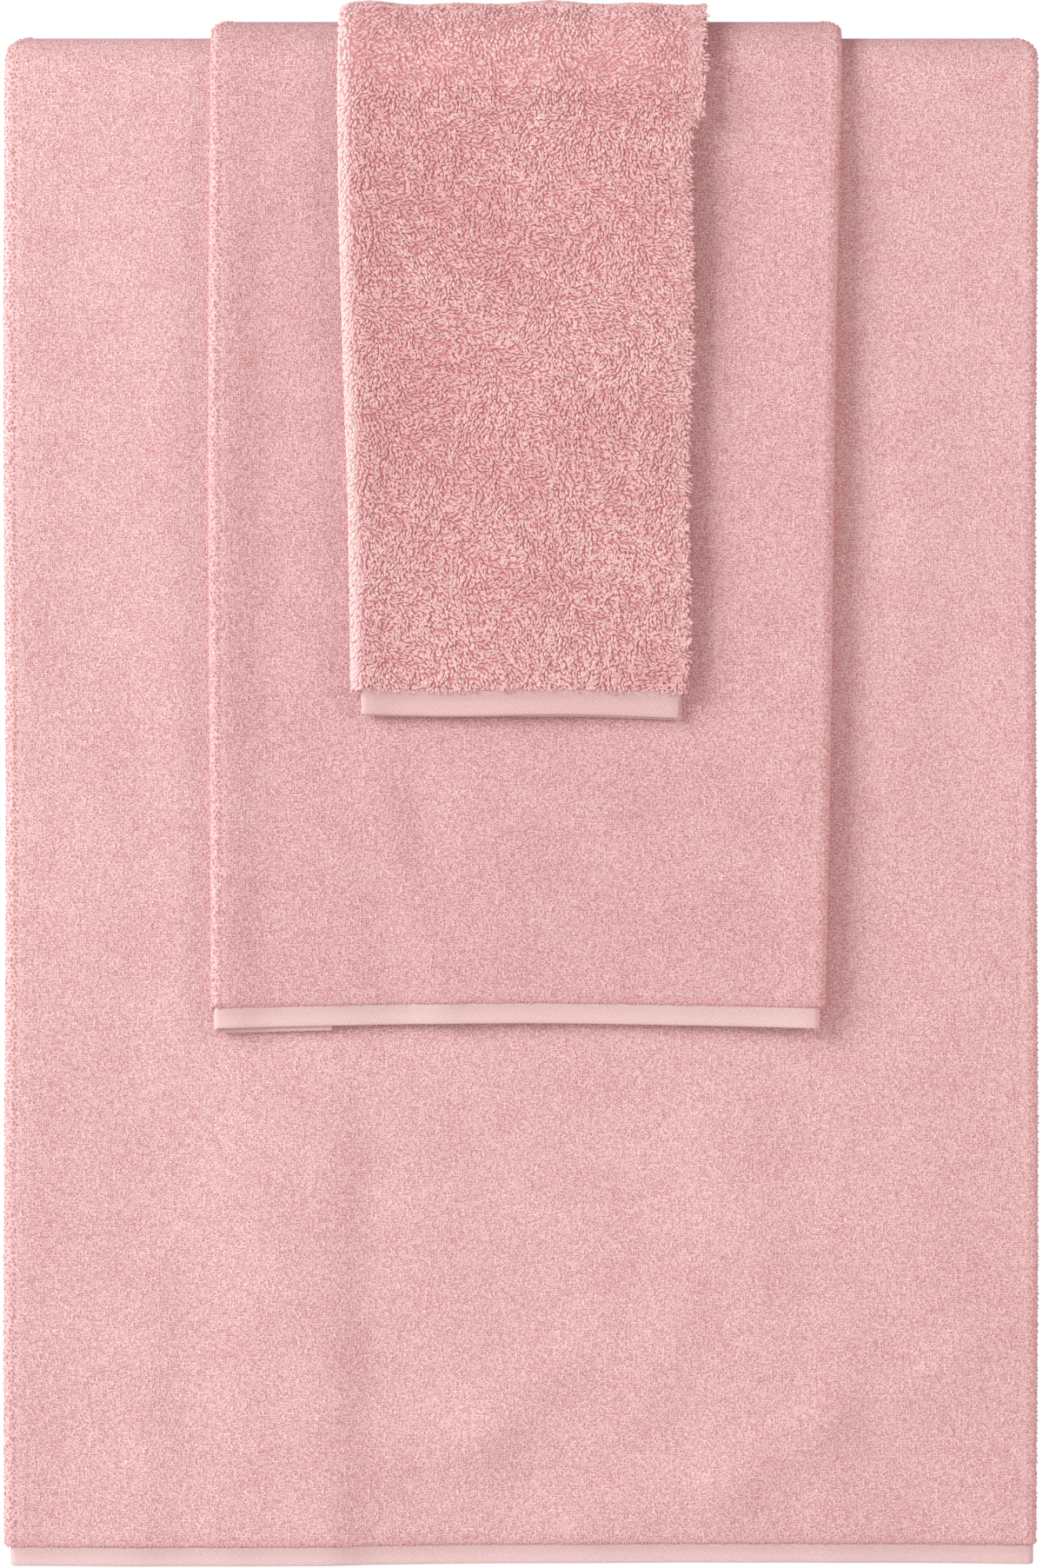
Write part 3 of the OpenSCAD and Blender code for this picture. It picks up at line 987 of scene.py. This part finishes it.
def fringeTerry(towel, material, strand):
    # The outermost loops, where they show against the hems and along the folded edges
    name, length, wide = towel["name"], alongLength(towel), acrossStops(towel)[-1]
    pieces = []
    between = (sideHem["width"], wide - sideHem["width"])
    near, far = towel["hem"] + 0.2 * mm, towel["hem"] + 2.2 * mm
    for side, rows, aim in (("front", (near, far), -90), ("back", (length - far, length - near), 90)):
        u, v = scatterPlaces(between, rows, rowHook["pitchAcross"], rowHook["pitchAlong"], 0.3)
        pieces.append(growLoops(f"{name}_{side}_edge_loops", towel, u, v, strand, rowHook, aim))
    margin = foldHook["margin"]
    for side, start, end in foldEnds(towel):
        u, v = scatterPlaces((start - margin, end + margin), (towel["hem"], length - towel["hem"]),
                             foldHook["pitchAcross"], foldHook["pitchAlong"], 0.3)
        pieces.append(growLoops(f"{name}_{side}_fold_loops", towel, u, v, strand, foldHook, -90))
    for piece in pieces:
        finishPiece(piece, towel, name + "_terry", material)
    return pieces


def sewHems(towel, material, strand):
    # Lock stitch along both end hems and both side hems, on the outside of the cloth
    hem = hemTowel(towel)
    wideHem, wide, length = acrossStops(hem)[-1], acrossStops(towel)[-1], alongLength(towel)
    roots, ups, leans = [], [], []
    for v in (towel["hem"] - thread["inset"], length - towel["hem"] + thread["inset"]):
        us = np.arange(2 * mm, wideHem - 2 * mm, thread["pitch"])
        for side in (1, -1):
            here, up = hang(hem, us, np.full(len(us), v))
            ahead, _ = hang(hem, us + 0.4 * mm, np.full(len(us), v))
            roots.append(here + up * side * towel["hemLayer"] / 2)
            ups.append(up * side)
            leans.append(unit(ahead - here))
    for u in (thread["sideInset"], wide - thread["sideInset"]):
        vs = np.arange(towel["hem"], length - towel["hem"], thread["pitch"] * 1.5)
        here, up = hang(towel, np.full(len(vs), u), vs)
        ahead, _ = hang(towel, np.full(len(vs), u), vs + 0.4 * mm)
        for side in (1, -1):
            roots.append(here + up * side * sideHem["thickness"] / 2)
            ups.append(up * side)
            leans.append(unit(ahead - here))
    roots, ups, leans = [np.concatenate(a) for a in (roots, ups, leans)]
    count = len(roots)
    obj = copyStrands(towel["name"] + "_stitches", strand, roots - ups * thread["sunk"], ups, leans,
                      np.full(count, thread["height"]), np.full(count, thread["length"]),
                      np.full(count, thread["width"]), rng.random(count))
    return finishPiece(obj, towel, "thread", material, towel["name"] + "_hem_stitching")


def buildLabel(towel, material):
    # A blank satin tape, sewn flat on the back drop
    low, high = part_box(towel["name"] + "_care_label")
    centre = (low + high) / 2
    deselectAll()
    bpy.ops.mesh.primitive_grid_add(x_subdivisions=14, y_subdivisions=8, size=1)
    obj = bpy.context.object
    obj.name = obj.data.name = towel["name"] + "_label_tape"
    flat = getCoords(obj.data)
    x = centre.x + flat[:, 0] * (high.x - low.x)
    z = centre.z + flat[:, 1] * (high.z - low.z)
    lift = towel["relief"](x, z, np.zeros(len(x), bool), np.zeros(len(x)))
    curl = 0.25 * mm * np.cos(flat[:, 0] * math.pi) * np.cos(flat[:, 1] * math.pi)
    y = low.y + 0.35 * mm + lift + curl
    if towel["name"] == "guest":
        y = y - 1.2 * mm
    setCoords(obj.data, np.stack([x, y, z], 1))
    editAll(obj, bpy.ops.mesh.flip_normals)
    thicken(obj, 0.5 * mm, 0.12 * mm)
    return finishPiece(obj, towel, "label_satin", material, towel["name"] + "_care_label")


# ---- build ----

buildStudio()
print("studio ready")

# Lengths in millimetres
terryLook = {
    "tip": "#FDEBEA", "gap": "#CE878B", "sheen": 0.12,
    "pitchAcross": 1.02, "pitchAlong": 0.95, "scatter": 0.5, "loopHeight": 0.4, "bump": 0.6,
    "wanderSize": 16.0, "wander": 2.6, "leanSize": 2.1, "lean": 0.85, "zigzag": 0.2,
    "pitStart": 0.05, "pitEnd": 0.72, "pitShut": 0.55, "pitLeast": 1.0, "pitMost": 1.22,
    "patchSize": 3.5, "patchRange": (0.36, 0.66),
    "streak": 0.2, "streakFar": 0.12, "streakStart": 6.0, "streakReach": 38.0,
    "streakLength": 7.0, "streakRange": (0.53, 0.72),
    "foldPits": 0.75, "foldRange": (3.0, 9.0),
    "loopTone": 0.15, "cloudSize": 30.0, "cloud": 0.04, "plySize": 0.7, "plyTone": 0.14,
}
handLook = dict(terryLook, tip="#FAE4E3", gap="#C77E83")
# painted shade: the guest towel's ground cloth lies under its long pile, so its loops are coloured
# throughout in the pile's shaded rose
shadedGuestGroundLook = dict(terryLook, tip="#E2ACAC", gap="#D29396", pitchAcross=2.2, pitchAlong=2.6)
hemLook = {"ribs": ((1.15, 3.0), (-2.6, 1.25)), "slubSize": 1.6, "slub": 2.4, "toneRange": (-0.6, 3.0),
           "dark": "#DDBEBD", "light": "#F6E2E1"}
# painted shade: a darker copy of the hem twill, for the guest towel's hems
shadedGuestHemLook = dict(hemLook, dark="#D4B2B2", light="#F1D8D8")
pileLook = {"rootShade": "#D28589", "tip": "#FBE2E0", "rootEnd": 0.05, "tipStart": 0.75, "variety": 0.42,
            "fibre": 0.5}

threadFinish = sewingThread("cotton_sewing_thread")
satinFinish = labelSatin("polyester_satin_tape")
stitchStrand = modelStrand(5, [(0.0, 0.5), (0.5, 0.5)])
pileStrand = modelStrand(4, [(0.0, 0.45), (0.4, 0.5), (0.78, 0.32)])
loopStrand = modelStrand(4, [(0.0, 0.42), (0.45, 0.5), (0.8, 0.36)])

for towel, look in ((bathTowel, terryLook), (handTowel, handLook), (guestTowel, shadedGuestGroundLook)):
    measureTowel(towel)
    name = towel["name"]
    cloth = (acrossStops(towel)[-1], alongLength(towel))
    folds = [(start + end) / 2 for _, start, end in foldEnds(towel)]
    terry = buildTerry(towel, loopedTerry(name + "_looped_cotton_terry", cloth, folds, look))
    twill = flatTwill(name + "_flat_cotton_twill", cloth, shadedGuestHemLook if name == "guest" else hemLook)
    pieces = [buildEndHem(towel, twill, True), buildEndHem(towel, twill, False)]
    firstSide, lastSide = ("left", "right") if towel["rightFlap"] else ("flap", "face")
    pieces.append(buildSideHem(towel, twill, True, f"{name}_{firstSide}_side_hem"))
    pieces.append(buildSideHem(towel, twill, False, f"{name}_{lastSide}_side_hem"))
    pieces.append(sewHems(towel, threadFinish, stitchStrand))
    pieces.append(buildLabel(towel, satinFinish))
    if name != "guest":
        # the loops' roots carry the terry's painted pit shade, and their tips a little painted shade,
        # which tones down the brightly lit folds
        loopLook = dict(pileLook, rootShade=look["gap"], tip="#F0CCCB")
        pieces += fringeTerry(towel, longPile(name + "_cotton_loops", loopLook), loopStrand)
    towel["terry"], towel["pieces"] = terry, pieces
    print(name, "towel folded and hung")

stops = acrossStops(guestTowel)
pileFinish = longPile("long_cotton_pile", pileLook)
front, turn, length = guestTowel["frontDrop"], guestTowel["turn"], alongLength(guestTowel)
hem = guestTowel["hem"]
quarter = (front - hem) / 4
railStart = front - 4 * mm
across = (stops[0], stops[-1])
for pieceName, uRange, vRange, look, side in (
        ("guest_pile_front_bottom", across, (hem, hem + quarter), pile, 1),
        ("guest_pile_front_low", across, (hem + quarter, hem + 2 * quarter), pile, 1),
        ("guest_pile_front_middle", across, (hem + 2 * quarter, hem + 3 * quarter), pile, 1),
        ("guest_pile_front_high", across, (hem + 3 * quarter, railStart), pile, 1),
        ("guest_pile_rail", across, (railStart, front + turn), railPile, 1),
        ("guest_pile_back", across, (front + turn, length - hem), backPile, 1),
        ("guest_pile_flap_edge", (0.1 * mm, 9 * mm), (hem, length - hem), edgePile, -1)):
    tufts = growPile(pieceName, guestTowel, uRange, vRange, pileStrand, look, side)
    finishPiece(tufts, guestTowel, "guest_terry", pileFinish)
    guestTowel["pieces"].append(tufts)
print("long pile grown")
